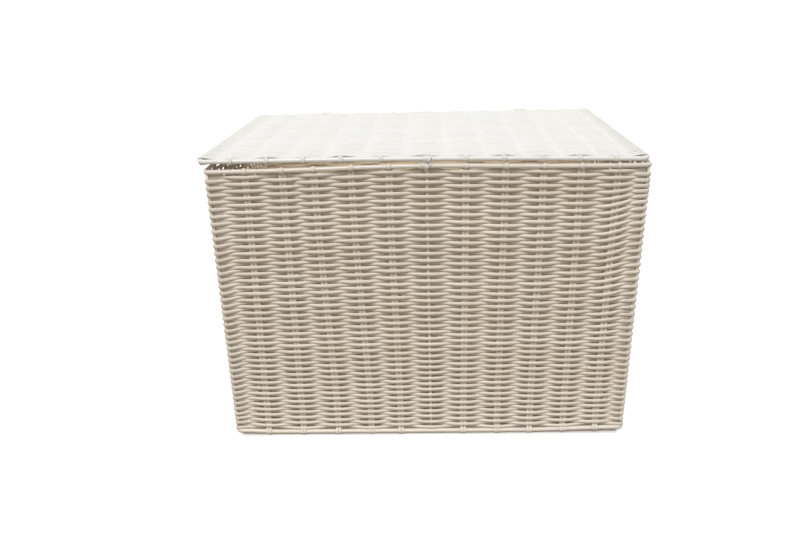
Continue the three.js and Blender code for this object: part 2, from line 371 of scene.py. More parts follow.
# The lid's stakes are paler and cooler than the wall stakes: painted light from above.
LID_STAKE_PAINTED_LIT = strand_material("lid_stake_strand_painted_light", (0.76, 0.745, 0.71), (0.80, 0.79, 0.755), 0.7)
LASHING = strand_material("lashing_strand", (0.81, 0.785, 0.73), (0.85, 0.83, 0.78), 0.48)
ROD = rod_material("coated_rod", (0.73, 0.67, 0.58), (0.82, 0.775, 0.70))
# The lid's rod is a paler, cooler copy of the coated rod: painted light from above.
LID_ROD_PAINTED_LIT = rod_material("lid_coated_rod_painted_light", (0.79, 0.77, 0.72), (0.84, 0.82, 0.775))

# --- Rods ----------------------------------------------------------------------------------------

ROD_STEP = 15  # usual step along a rod
CORNER_STEPS = 8
POST_WELD = 0.6  # how deep a post's ends stand in the rods
BAR_WELD = 0.3


def rim_path(z):
    """Centre line of a rim: a rectangle with bent corners."""
    points = []
    for quarter, (sx, sy) in enumerate([(1, 1), (-1, 1), (-1, -1), (1, -1)]):
        for i in range(CORNER_STEPS + 1):
            angle = (quarter + i / CORNER_STEPS) * math.pi / 2
            x = sx * (HALF_W - CORNER_R) + CORNER_R * math.cos(angle)
            y = sy * (HALF_D - CORNER_R) + CORNER_R * math.sin(angle)
            points.append((x, y, z))
    closed = points + points[:1]
    path = []
    for a, b in zip(closed, closed[1:]):
        steps = max(1, round(math.dist(a, b) / ROD_STEP))
        for i in range(steps):
            path.append([p + (q - p) * i / steps for p, q in zip(a, b)])
    return np.array(path)


def add_rim(name, z, warp, material, body, node):
    bundle = Bundle()
    bundle.add(warp(rim_path(z)), (0, 0, 1), ROD_R, ROD_R, sides=ROD_SIDES, closed=True)
    piece(name, bundle, material, body, "coated_rod", node)


def straight(a, b):
    steps = max(2, round(math.dist(a, b) / ROD_STEP))
    return np.linspace(a, b, steps + 1)


def add_post(name, x_base, x_top, y, node):
    low, high = BASE_Z + ROD_R - POST_WELD, RIM_Z - ROD_R + POST_WELD
    path = straight((x_base, y, low), (x_top, y, high))
    bundle = Bundle()
    bundle.add(warp_body(path), (0, 1, 0), POST_R, POST_R, sides=ROD_SIDES)
    piece(name, bundle, ROD, "trunk_body", "coated_rod", node)


def add_rods():
    add_rim("bottom_rim", BASE_Z, warp_body, ROD, "trunk_body", "bottom_rim_rod")
    add_rim("top_rim", RIM_Z, warp_body, ROD, "trunk_body", "top_rim_rod")
    add_rim("lid_rim", LID_Z, warp_lid, LID_ROD_PAINTED_LIT, "lid", "lid_rim_rod")
    for corner in ("front_left", "front_right", "back_left", "back_right"):
        x, y, _ = node_centre("corner_post_" + corner)
        x += math.copysign(SPREAD, x)
        add_post("post_" + corner, x, x, y, "corner_post_" + corner)
    front, side = HALF_D - WALL_INSET, HALF_W - WALL_INSET
    add_post("post_front_middle", FRONT_LEAN_BASE[MIDDLE], FRONT_LEAN_TOP[MIDDLE], -front,
             "front_middle_post")
    add_post("post_back_middle", 0, 0, front, "back_middle_post")
    add_post("post_left_middle", -side, -side, 0, "left_middle_post")
    add_post("post_right_middle", side, side, 0, "right_middle_post")
    reach = HALF_D - ROD_R + BAR_WELD
    for name, x, z, warp, body, node in (
        ("bar_bottom_middle", 0, BOTTOM_Z, warp_body, "trunk_body", "bottom_middle_bar"),
        ("bar_lid_middle", LID_LEAN[MIDDLE], LID_Z, warp_lid, "lid", "lid_middle_bar"),
    ):
        bundle = Bundle()
        path = straight((x, -reach, z), (x, reach, z))
        bundle.add(warp(path), (1, 0, 0), POST_R, POST_R, sides=ROD_SIDES)
        piece(name, bundle, ROD, body, "coated_rod", node)


# --- Stakes --------------------------------------------------------------------------------------

WRAP_R = ROD_R + PRESSED + 0.03  # from a rod's centre line to the middle of the strand round it
WRAP_FADE = 2.0  # distance over which the rounding of a route sets in, away from a rod
WRAP_GAP = 1.6  # points of a route closer together than this lie round a rod
ARC_STEP = 15  # degrees
LEG_IN = 9.0  # how far below the rim's centre a hairpin's first leg starts
LEG_OUT = 8.0  # and its second leg ends
LID_LEG = 9.0  # how far from the lid's rod its hairpin starts
BASE_IN = 12.0  # how far inside the lower rod a stake leaves the bottom
BASE_LEGS = (7.5, 14.0)  # heights above the lower rod where it is back in the plane of the wall
EASE_NEAR = 0.3  # distances past a wrap where a strand starts to change its size, and has done so
EASE_FAR = 6.0
LONGEST_STEP = 6.0  # between the points that are kept along a stake
SHARPEST_STEP = 11.0  # degrees that the path may turn between them
STAKE_TONES = (0.2, 0.8)


def arc(start, end, across_start, across_end):
    """Points round a rod as (across, out, up), between two angles measured from straight out."""
    steps = round(abs(end - start) / ARC_STEP) + 1
    share = np.linspace(0, 1, steps)
    angle = np.radians(start + (end - start) * share)
    across = across_start + (across_end - across_start) * share
    return np.column_stack([across, WRAP_R * np.cos(angle), WRAP_R * np.sin(angle)])


def at_rod(points, out, up):
    return points + np.array([0, out, up])


def softened(points, step=1.0, reach=4):
    """A dense closed path through the points, with its corners rounded wherever no rod is near."""
    ring = np.vstack([points, points[:1]])
    length = np.concatenate([[0], np.cumsum(np.linalg.norm(np.diff(ring, axis=0), axis=1))])
    count = round(length[-1] / step)
    even = np.linspace(0, length[-1], count + 1)[:-1]
    dense = np.column_stack([np.interp(even, length, ring[:, i]) for i in range(3)])
    rounded = sum(np.roll(dense, i, 0) for i in range(-reach, reach + 1)) / (2 * reach + 1)
    radius = np.min([np.linalg.norm((dense - points[i])[:, 1:], axis=1) for i in rod_marks(points)], 0)
    free = np.clip((radius - WRAP_R) / WRAP_FADE, 0, 1)[:, None]
    return dense * (1 - free) + rounded * free


def rod_marks(points):
    """Numbers of the points that lie round a rod: they are the closest together."""
    gaps = np.linalg.norm(np.roll(points, -1, 0) - points, axis=1)
    return np.nonzero(gaps < WRAP_GAP)[0]


def thinned(path):
    """Leaves points out of a dense closed path wherever it is straight."""
    along = unit(np.roll(path, -1, 0) - path)
    kept, last, walked = [], along[0], 0.0
    bent = math.cos(math.radians(SHARPEST_STEP))
    for i, step in enumerate(np.linalg.norm(np.roll(path, -1, 0) - path, axis=1)):
        if i == 0 or walked > LONGEST_STEP or np.dot(along[i], last) < bent:
            kept.append(i)
            last, walked = along[i], 0.0
        walked += step
    return path[kept]


def rim_hairpin():
    """A stake's strand up one leg, over a rim from the inside, round it, and down the other leg."""
    first, last = [(-STAKE_WIDE, -WALL_INSET, -LEG_IN)], [(STAKE_WIDE, -WALL_INSET, -LEG_OUT)]
    over = arc(205, 85, -STAKE_WIDE, 0)
    front = arc(70, -55, 0, 0)
    under = arc(-70, -125, STAKE_WIDE / 3, STAKE_WIDE)
    return np.vstack([first, over, front, under, last])


def base_turn(across):
    """From the bottom of the trunk under the lower rod, round its outside, and up into the wall."""
    near = math.copysign(BASE_WIDE, across)
    inside = [(across, -BASE_IN, BOTTOM_Z - BASE_Z)]
    above = [(across, -WALL_INSET, up) for up in BASE_LEGS]
    return np.vstack([inside, arc(170, 435, near, near), above])


def long_stake():
    """Closed route of a stake: both legs up the front, across the bottom and up the back."""
    up_front = at_rod(base_turn(-STAKE_WIDE), HALF_D, BASE_Z)
    down_front = at_rod(base_turn(STAKE_WIDE)[::-1], HALF_D, BASE_Z)
    start, end = [(-STAKE_WIDE, 0, BOTTOM_Z)], [(STAKE_WIDE, 0, BOTTOM_Z)]
    half = np.vstack([start, up_front, at_rod(rim_hairpin(), HALF_D, RIM_Z), down_front, end])
    return np.vstack([half[:-1], (half * [-1, -1, 1])[:-1]])


def side_stake():
    """Closed route of a stake with a hairpin round the upper rod and another round the lower one."""
    foot = rim_hairpin() * [-1, 1, -1]
    return np.vstack([at_rod(rim_hairpin(), HALF_W, RIM_Z), at_rod(foot, HALF_W, BASE_Z)])


def lid_stake():
    """Closed route of a lid stake, round the front rod and the rear rod, with heights from theirs."""
    touch = math.degrees(math.asin(WRAP_R / LID_LEG))
    first, last = [(-STAKE_WIDE, -LID_LEG, 0)], [(STAKE_WIDE, -LID_LEG, 0)]
    over = arc(90 + touch, 60, -STAKE_WIDE, 0)
    under = arc(-60, -90 - touch, 0, STAKE_WIDE)
    front = at_rod(np.vstack([first, over, arc(45, -45, 0, 0), under, last]), HALF_D, 0)
    return np.vstack([front, front * [-1, -1, 1]])


def eased(route, rods, pulled, full):
    """A half width or thickness along a stake: `pulled` round a rod, and `full` elsewhere."""
    nearest = np.min([np.hypot(route[:, 1] - out, route[:, 2] - up) for out, up in rods], axis=0)
    return pulled + (full - pulled) * smooth(WRAP_R + EASE_NEAR, WRAP_R + EASE_FAR, nearest)


def lean(values, i):
    """A stake's own value in a list that also counts the middle post."""
    return values[i if i < MIDDLE else i + 1]


def add_stake(name, route, width, thickness, place, side, warp, material, body, node):
    bundle = Bundle()
    bundle.add(warp(place(*route.T)), side, width, thickness, closed=True,
               tone=RANDOM.uniform(*STAKE_TONES), square=SQUARE)
    piece(name, bundle, material, body, "stake_strand", node)


def add_stakes():
    route = thinned(softened(long_stake()))
    base_rods = [(-HALF_D, BASE_Z), (HALF_D, BASE_Z)]
    rim_rods = [(-HALF_D, RIM_Z), (HALF_D, RIM_Z)]
    width = eased(route, base_rods, BASE_WIDE, eased(route, rim_rods, RIM_WIDE, STAKE_WIDE))
    thickness = eased(route, base_rods + rim_rods, PRESSED, STAKE_THICK)
    for i in range(LONG_STAKES):
        even = node_centre(f"long_stake_{i + 1}")[0]
        at_top, at_base = lean(FRONT_LEAN_TOP, i), lean(FRONT_LEAN_BASE, i)

        def place(across, out, z):
            drift = at_base + (at_top - at_base) * smooth(0, RIM_Z, z)
            return np.column_stack([even + across + drift * front_share(-out), -out, z])

        add_stake(f"front_to_back_stake_{i + 1}", route, width, thickness, place, (1, 0, 0),
                  warp_body, STAKE, "trunk_body", f"long_stake_{i + 1}")

    route = thinned(softened(side_stake()))
    thickness = eased(route, [(HALF_W, BASE_Z), (HALF_W, RIM_Z)], PRESSED, STAKE_THICK)
    for side, sign in (("left", -1), ("right", 1)):
        for i in range(SIDE_STAKES):
            even = node_centre(f"{side}_stake_{i + 1}")[1]

            def place(across, out, z):
                return np.column_stack([sign * out, even + across, z])

            add_stake(f"{side}_side_stake_{i + 1}", route, STAKE_WIDE, thickness, place, (0, 1, 0),
                      warp_body, STAKE, "trunk_body", f"{side}_stake_{i + 1}")

    route = thinned(softened(lid_stake()))
    thickness = eased(route, [(-HALF_D, 0), (HALF_D, 0)], PRESSED, STAKE_THICK)
    for i in range(LONG_STAKES):
        even = node_centre(f"lid_stake_{i + 1}")[0] + lean(LID_LEAN, i)

        def place(across, out, up):
            return np.column_stack([even + across, -out, LID_Z + up])

        add_stake(f"lid_long_stake_{i + 1}", route, STAKE_WIDE, thickness, place, (1, 0, 0), warp_lid,
                  LID_STAKE_PAINTED_LIT, "lid", f"lid_stake_{i + 1}")


# --- Weave of the walls --------------------------------------------------------------------------

WALL_FOOT = 11.0  # height of the lowest row's centre
WALL_HEAD = 412.2
CROSS_LIFT = 0.2  # how unevenly a strand lies where it passes an upright
LIFT_LIMIT = 2 * CROSS_LIFT
CROSS_DEPTH = 0.04  # how much its distance from the uprights varies, as a share
DEPTH_LIMITS = (-0.03, 0.1)
SIZE_LIMITS = (0.98, 1.02)  # how much the rows' widths vary
TONE_RUN = 3  # a length of strand weaves about this many rows before the next is spliced in
TONE_SHARE = 0.6  # how much of a row's tone is that of its run
OUTER_TURN = POST_R + CORNER_THICK + 0.05  # bend of a row that passes outside a corner post
INNER_TURN = 3.2  # and of one that passes inside
CORNER_ANGLES = [45, 30, 15]  # degrees round a corner, from its diagonal towards the wall
SAG = 4.8  # how far the rows have been beaten down half way up the front
SAG_PLACES = [-270, -80, 120, 230]  # across the front
SAG_RISES = [0, -18, 32, -18]  # how much higher than usual they are beaten down most there
SAG_GROWS = (10, 165)  # heights between which the rows sag more and more
SAG_FADES = (380, 190)  # and less and less, from the top down
CLIMB = 12.2  # how far the rows climb towards the front right corner, high up
CLIMB_START = 235
CLIMB_GROWS = (110, 310)
CORNER_DROP = 4.5  # and fall beside the front left corner post
CORNER_DROP_START = 262
CORNER_DROP_FADES = (380, 300)
CALM_FOOT = 45  # below this height, and above the next, the rows come back to an even level
CALM_HEAD = 350


def even_places(count):
    """Where the uprights of a wall stand along it before they lean."""
    return (np.arange(count) - (count - 1) / 2) * STAKE_PITCH


def run_tone(tones, row):
    """A row's tone: partly that of the length of strand it belongs to, and partly its own."""
    return tones[row // TONE_RUN] * TONE_SHARE + tones[row] * (1 - TONE_SHARE)


def bay(u, uprights):
    """For each place along a row, the upright before it and the share of the bay covered."""
    k = np.clip(np.searchsorted(uprights, u, side="right") - 1, 0, len(uprights) - 2)
    return k, (u - uprights[k]) / (uprights[k + 1] - uprights[k])


def between(k, t, values):
    """Goes smoothly from each upright's value to the next one's."""
    swing = (1 + np.cos(math.pi * t)) / 2
    return values[k] * swing + values[k + 1] * (1 - swing)


def near_uprights(k, t, values, elsewhere):
    """Each upright's value beside it, and the other value half way between two."""
    share = 1 - np.sin(math.pi * t) ** 4
    return elsewhere + (values[np.where(t < 0.5, k, k + 1)] - elsewhere) * share


class Wall:
    """One wall between the diagonals of two corners. Places along it are measured from its middle."""

    def __init__(self, name, half, count, origin, along, outward):
        self.name = name
        self.post = half - POST_INSET  # place of its corner posts
        self.count = count  # of its uprights between the corner posts
        self.origin, self.along, self.outward = map(np.array, (origin, along, outward))
        self.samples = round(2 * self.post / SAMPLE)
        self.ends = [np.append(v / math.sqrt(2), 0) for v in (self.along + self.outward,
                                                              self.along - self.outward)]

    def uprights(self, z):
        """Places of the stakes and the middle post at one height."""
        even = even_places(self.count)
        if self.name != "front":
            return even
        share = smooth(0, RIM_Z, z)
        base, top = np.array(FRONT_LEAN_BASE), np.array(FRONT_LEAN_TOP)
        return even + base + (top - base) * share

    def row(self, z, signs, depth):
        """Plan of one row, with the bay and share of each point; signs and depth are by upright."""
        rise = WALL_INSET - POST_INSET
        shift = (OUTER_TURN + INNER_TURN) * math.sqrt(0.5)
        corners = [(0, OUTER_TURN) if sign > 0 else (shift, INNER_TURN) for sign in signs[[0, -1]]]
        reach = [self.post - back for back, _ in corners]
        levels = signs * depth
        levels[[0, -1]] = [rise - back + turn for back, turn in corners]
        posts = np.concatenate([[-reach[0]], self.uprights(z), [reach[1]]])
        u = np.linspace(posts[0], posts[-1], self.samples)
        k, t = bay(u, posts)
        out = between(k, t, levels)
        angle = np.radians(CORNER_ANGLES)
        (back_a, turn_a), (back_b, turn_b) = corners
        u = np.concatenate([-reach[0] - turn_a * np.sin(angle), u,
                            reach[1] + turn_b * np.sin(angle[::-1])])
        out = np.concatenate([rise - back_a + turn_a * np.cos(angle), out,
                              rise - back_b + turn_b * np.cos(angle[::-1])])
        k = np.concatenate([[0] * len(angle), k, [len(posts) - 2] * len(angle)])
        t = np.concatenate([[0] * len(angle), t, [1] * len(angle)])
        plan = self.origin + u[:, None] * self.along + out[:, None] * self.outward
        return plan, k, t


def row_rise(plan, z):
    """How far a row lies above its even place: it varies along the front, and is 0 at the back."""
    x, y = plan.T
    low = z - np.interp(x, SAG_PLACES, SAG_RISES)
    sag = SAG * smooth(*SAG_GROWS, low) * smooth(*SAG_FADES, low)
    climb = CLIMB * smooth(CLIMB_START, HALF_W, x) * smooth(*CLIMB_GROWS, z)
    drop = CORNER_DROP * smooth(CORNER_DROP_START, HALF_W, -x) * smooth(*CORNER_DROP_FADES, z)
    calm = smooth(WALL_FOOT, CALM_FOOT, z) * smooth(WALL_HEAD, CALM_HEAD, z)
    return ((climb - drop) * calm - sag) * front_share(y)


def add_walls():
    side_out, front_out = HALF_W - WALL_INSET, HALF_D - WALL_INSET
    walls = [
        Wall("front", HALF_W, LONG_UPRIGHTS, (0, -front_out), (1, 0), (0, -1)),
        Wall("right", HALF_D, SIDE_UPRIGHTS, (side_out, 0), (0, 1), (1, 0)),
        Wall("back", HALF_W, LONG_UPRIGHTS, (0, front_out), (-1, 0), (0, 1)),
        Wall("left", HALF_D, SIDE_UPRIGHTS, (-side_out, 0), (0, -1), (-1, 0)),
    ]
    total = sum(wall.count + 1 for wall in walls)  # uprights and corner posts round the trunk
    lift = RANDOM.normal(0, CROSS_LIFT, (WALL_ROWS, total)).clip(-LIFT_LIMIT, LIFT_LIMIT)
    depth = PASS * (1 + RANDOM.normal(0, CROSS_DEPTH, (WALL_ROWS, total)).clip(*DEPTH_LIMITS))
    size = RANDOM.uniform(*SIZE_LIMITS, WALL_ROWS)
    tone = RANDOM.uniform(0, 1, (WALL_ROWS, len(walls)))
    first = 0
    for number, wall in enumerate(walls):
        bundle = Bundle()
        ids = (first + np.arange(wall.count + 2)) % total
        first += wall.count + 1
        pressed = np.full(wall.count + 2, STRAND_THICK)
        pressed[[0, -1]] = CORNER_THICK
        for row, z in enumerate(np.linspace(WALL_FOOT, WALL_HEAD, WALL_ROWS)):
            first_sign = -1 if (WALL_ROWS - 1 - row) % 2 == 0 else 1
            signs = first_sign * (-1.0) ** np.arange(len(ids))
            plan, k, t = wall.row(z, signs, depth[row, ids])
            rise = near_uprights(k, t, lift[row, ids], 0) + row_rise(plan, z)
            path = warp_body(np.column_stack([plan, z + rise]))
            passing = np.where(signs > 0, STRAND_WIDE, INNER_WIDE)
            wide = near_uprights(k, t, passing, CROSS_WIDE) * size[row]
            thick = near_uprights(k, t, pressed, CROSS_THICK)
            shade = run_tone(tone[:, number], row)
            bundle.add(path, (0, 0, 1), wide, thick, tone=shade, ends=wall.ends)
        piece(f"{wall.name}_wall_weave", bundle, WEAVE, "trunk_body", "weave_strand",
              f"{wall.name}_weave")


# --- Weave of the lid and the bottom -------------------------------------------------------------

LID_FRONT_ROW = -HALF_D + ROD_R + 2.9  # centre of the row beside the front rod
LID_REAR_ROW = HALF_D - ROD_R - 3.6
LID_DEPTH_LIMITS = (-0.03, 0.08)
TURN_THICK = 1.0  # half thickness of the lid's strand where it turns round a side rod
TURN_STEPS = 8
BOTTOM_WIDE = 3.5  # half width of the bottom's strand where it passes a stake
BOTTOM_SPREAD = 1.5  # how much farther out its turns reach than the frame's
BOTTOM_TURN_STEPS = 6
LEVEL_POSTS = LONG_UPRIGHTS + 2  # uprights that a row passes, and its two ends


def add_lid_weave():
    """One strand to and fro across the lid, turning round the side rods."""
    even = even_places(LONG_UPRIGHTS) + np.array(LID_LEAN)
    posts = np.concatenate([[-HALF_W], even, [HALF_W]])
    pitch = (LID_REAR_ROW - LID_FRONT_ROW) / (LEVEL_ROWS - 1)
    turn_r = ROD_R + TURN_THICK
    u = np.linspace(-HALF_W, HALF_W, round(2 * HALF_W / SAMPLE))
    k, t = bay(u, posts)
    angles = np.linspace(0, math.pi, TURN_STEPS + 1)[1:-1]
    pressed = np.full(LEVEL_POSTS, STRAND_THICK)
    pressed[[0, -1]] = TURN_THICK
    path, wide, thick, tones = [], [], [], []
    tone = RANDOM.uniform(0, 1, LEVEL_ROWS + 1)
    for row in range(LEVEL_ROWS):
        y = LID_FRONT_ROW + row * pitch
        signs = (-1.0) ** (np.arange(LEVEL_POSTS) + row + 1)
        depth = PASS * (1 + RANDOM.normal(0, CROSS_DEPTH, LEVEL_POSTS).clip(*LID_DEPTH_LIMITS))
        depth[[0, -1]] = turn_r
        aside = RANDOM.normal(0, CROSS_LIFT, LEVEL_POSTS).clip(-LIFT_LIMIT, LIFT_LIMIT)
        sway = near_uprights(k, t, aside, 0)
        points = np.column_stack([u, y + sway, LID_Z + between(k, t, signs * depth)])
        width = near_uprights(k, t, np.where(signs > 0, LID_WIDE, INNER_WIDE), CROSS_WIDE)
        height = near_uprights(k, t, pressed, CROSS_THICK)
        to_right = row % 2 == 0
        order = slice(None) if to_right else slice(None, None, -1)
        shade = run_tone(tone, row)
        path.append(points[order])
        wide.append(width[order])
        thick.append(height[order])
        tones.append(np.full(len(points), shade))
        if row == LEVEL_ROWS - 1:
            break
        end = 1 if to_right else -1
        side = signs[-1] if to_right else signs[0]
        path.append(np.column_stack([end * (HALF_W + turn_r * np.sin(angles)),
                                     y + pitch * angles / math.pi,
                                     LID_Z + side * turn_r * np.cos(angles)]))
        wide.append(np.full(len(angles), STRAND_WIDE))
        thick.append(np.full(len(angles), TURN_THICK))
        tones.append(np.full(len(angles), shade))
    bundle = Bundle()
    bundle.add(warp_lid(np.concatenate(path)), (0, 1, 0), np.concatenate(wide), np.concatenate(thick),
               tone=np.concatenate(tones))
    piece("lid_panel_weave", bundle, LID_WEAVE_PAINTED_LIT, "lid", "weave_strand", "lid_weave")


def add_bottom_weave():
    """One strand to and fro across the bottom, turning back inside the side walls."""
    even = even_places(LONG_UPRIGHTS)
    reach_y = BOTTOM_REACH[1] - CROSS_WIDE
    pitch = 2 * reach_y / (LEVEL_ROWS - 1)
    turn_x = BOTTOM_REACH[0] + BOTTOM_SPREAD - CROSS_WIDE - pitch / 2
    angles = np.linspace(-math.pi / 2, math.pi / 2, BOTTOM_TURN_STEPS + 1)[1:-1]
    tail_end = turn_x + math.pi * pitch / 4
    path, wide, thick, tones = [], [], [], []
    tone = RANDOM.uniform(0, 1, LEVEL_ROWS)
    pressed, passing = np.full(LEVEL_POSTS, STRAND_THICK), np.full(LEVEL_POSTS, BOTTOM_WIDE)
    pressed[[0, -1]], passing[[0, -1]] = CROSS_THICK, CROSS_WIDE
    u = np.linspace(-turn_x, turn_x, round(2 * turn_x / SAMPLE))
    for row in range(LEVEL_ROWS):
        y = -reach_y + row * pitch
        drift = np.array(FRONT_LEAN_BASE) * front_share(y)
        posts = np.concatenate([[-tail_end], even + drift, [tail_end]])
        levels = PASS * (-1.0) ** (np.arange(LEVEL_POSTS) + row + 1)
        levels[[0, -1]] = 0
        k, t = bay(u, posts)
        points = np.column_stack([u, np.full(len(u), y), BOTTOM_Z + between(k, t, levels)])
        to_right = row % 2 == 0
        order = slice(None) if to_right else slice(None, None, -1)
        path.append(points[order])
        wide.append(near_uprights(k, t, passing, CROSS_WIDE)[order])
        thick.append(near_uprights(k, t, pressed, CROSS_THICK)[order])
        tones.append(np.full(len(points), tone[row]))
        if row == LEVEL_ROWS - 1:
            break
        end = 1 if to_right else -1
        level = points[-1 if to_right else 0][2] - BOTTOM_Z
        path.append(np.column_stack([end * (turn_x + pitch / 2 * np.cos(angles)),
                                     y + pitch / 2 + pitch / 2 * np.sin(angles),
                                     BOTTOM_Z - level * np.sin(angles)]))
        wide.append(np.full(len(angles), CROSS_WIDE))
        thick.append(np.full(len(angles), CROSS_THICK))
        tones.append(np.full(len(angles), tone[row]))
    bundle = Bundle()
    bundle.add(warp_body(np.concatenate(path)), (0, 0, 1), np.concatenate(thick),
               np.concatenate(wide), tone=np.concatenate(tones))
    piece("bottom_panel_weave", bundle, WEAVE, "trunk_body", "weave_strand", "bottom_weave")


# --- Lashings and bindings -----------------------------------------------------------------------

LASHING_TURNS = 4
LASHING_WIDE = 2.35
LASHING_THICK = 1.15
LASHING_ROOM = 1.8  # from a rod's coat to the middle of a lashing's strand
LASHING_STEPS = 8  # round each rod
LASHING_SHIFTS = (("left", -2.0), ("right", 5.0))  # how far each stands aside from the frame's
LASHING_TONES = (0.4, 0.9)
BIND_WIDE = 1.3
BIND_THICK = 0.55
BIND_TURNS = 3
BIND_STEPS = 16  # round each turn
BIND_END = 0.6  # where the turn across the others ends, as a share of their width
RIM_BINDING = (-10.5, -1.0, 7.0)  # along the rim from the post: first turn, last turn and tail
LID_BINDING = (-1.5, 4.5, 9.5)  # the same along the lid's front rod, from its bar
COLLAR_TURNS = 2
COLLAR_STEPS = 32
COLLAR_GAP = 0.9  # below the rim's rod
COLLAR_FALL = 5.4


def add_lashings():
    """Turns of strand round the rear rods of the body and the lid, which hold the lid and let it turn."""
    reach = ROD_R + LASHING_ROOM
    ring = []
    for start, height in ((0, LID_Z - RIM_Z), (math.pi, 0)):
        for i in range(LASHING_STEPS + 1):
            angle = start + math.pi * i / LASHING_STEPS
            ring.append((reach * math.cos(angle), height + reach * math.sin(angle)))
    count = LASHING_TURNS * len(ring) + 1
    steps = np.arange(count)
    y, z = np.array(ring)[steps % len(ring)].T
    across = (steps / (count - 1) - 0.5) * LASHING_TURNS * 2 * LASHING_WIDE
    for side, shift in LASHING_SHIFTS:
        x = node_centre(f"hinge_lashing_{side}")[0] + shift
        path = np.column_stack([x + across, HALF_D + y, RIM_Z + z])
        bundle = Bundle()
        bundle.add(path, (1, 0, 0), LASHING_WIDE, LASHING_THICK, tone=RANDOM.uniform(*LASHING_TONES))
        piece(f"{side}_hinge_lashing", bundle, LASHING, "trunk_body", "lashing_strand",
              f"hinge_lashing_{side}")


def bound(x, out, z, first, last, tail):
    """Turns of a thin strand round a rod, from `first` to `last` along it, then one across them."""
    knots = np.array([0, BIND_TURNS, BIND_TURNS + 0.5, BIND_TURNS + 1, BIND_TURNS + 1.55])
    along = np.array([first, last, last + 1, tail, first + BIND_END * (last - first)])
    layer = np.array([0, 0, 0.3, 2, 2])
    turn = np.linspace(0, knots[-1], round(knots[-1] * BIND_STEPS))
    radius = ROD_R + BIND_THICK * (1 + np.interp(turn, knots, layer))
    angle = math.pi * (0.5 - 2 * turn)
    across = np.interp(turn, knots, along)
    return np.column_stack([x + across, out + radius * np.cos(angle), z + radius * np.sin(angle)])


def add_thin_strand(bundle, path, side):
    bundle.add(path, side, BIND_WIDE, BIND_THICK, tone=RANDOM.uniform(*LASHING_TONES))


def add_bindings():
    """Turns that cover the joints of the middle posts with the rim, and of the lid's bar with its rod."""
    turned = {
        "front": (FRONT_LEAN_TOP[MIDDLE], HALF_D, (1, 0, 0), lambda a, o, z: (a, -o, z)),
        "left": (0, HALF_W, (0, 1, 0), lambda a, o, z: (-o, -a, z)),
        "right": (0, HALF_W, (0, 1, 0), lambda a, o, z: (o, a, z)),
    }
    steps = np.linspace(0, 1, COLLAR_STEPS + 1)
    angle = steps * 2 * COLLAR_TURNS * math.pi
    radius = POST_R + BIND_THICK
    height = RIM_Z - ROD_R - COLLAR_GAP - COLLAR_FALL * steps
    for side, (x, half, along, place) in turned.items():
        rim = place(*bound(x, half, RIM_Z, *RIM_BINDING).T)
        out = half - WALL_INSET + radius * np.sin(angle)
        collar = place(x + radius * np.cos(angle), out, height)
        bundle = Bundle()
        add_thin_strand(bundle, warp_body(np.column_stack(rim)), along)
        add_thin_strand(bundle, warp_body(np.column_stack(collar)), (0, 0, 1))
        piece(f"{side}_rim_binding", bundle, LASHING, "trunk_body", "lashing_strand")
    x, y, z = bound(LID_LEAN[MIDDLE], HALF_D, LID_Z, *LID_BINDING).T
    bundle = Bundle()
    add_thin_strand(bundle, warp_lid(np.column_stack([x, -y, z])), (1, 0, 0))
    piece("lid_binding", bundle, LID_WEAVE_PAINTED_LIT, "lid", "lashing_strand")


# --- Floor, light and camera, in metres ----------------------------------------------------------

FLOOR_FLAT = 5.0  # distance from the middle where the floor starts to rise
FLOOR_BEND = 2.0  # radius of the bend
FLOOR_TOP = 7.0
FLOOR_SIDES = 96
FLOOR_BEND_STEPS = 12
FLOOR_GLOW = 0.4
# The footprint and the glow's start mark a painted shadow: the floor has no glow under the trunk and just
# past the foot of its front and back.
FOOTPRINT_IN = 12.0  # how far inside the side rods the trunk's footprint ends, in millimetres
FOOTPRINT = (("X", (HALF_W - FOOTPRINT_IN) / MM), ("Y", HALF_D / MM))
GLOW_START = 0.0035  # distance past the footprint where the floor begins to glow
GLOW_FULL = 0.0065
SKY = [  # colour of the light from straight below, the horizon and straight above
    (0.0, (0.31, 0.262, 0.21)),
    (0.5, (0.34, 0.307, 0.268)),
    (1.0, (0.675, 0.713, 0.76)),
]
SUN_COLOUR = (1.0, 0.99, 0.97)
SUNS = [  # name, strength, and spread and turn in degrees
    ("front_sun", 1.89, 25, (36, -10, 0)),
    ("rear_left_fill", 0.5, 40, (-80, 0, -50)),
    ("rear_right_fill", 0.5, 40, (-80, 0, 50)),
]
INNER_COLOUR = (1.0, 0.86, 0.68)
INNER_POWER = 0.4
INNER_SIZE = (0.5, 0.1)
INNER_HEIGHT = 0.28
INNER_TILT = 88  # degrees
LENS = 31.66
SENSOR = 36.0
CAMERA_FAR = 200.0
CAMERA_TURN = (("Z", 1.581), ("X", -22.105), ("Y", 1.362))  # yaw, pitch and roll in degrees
CAMERA_PLACE = (-0.0127, -1.1253, 0.6389)


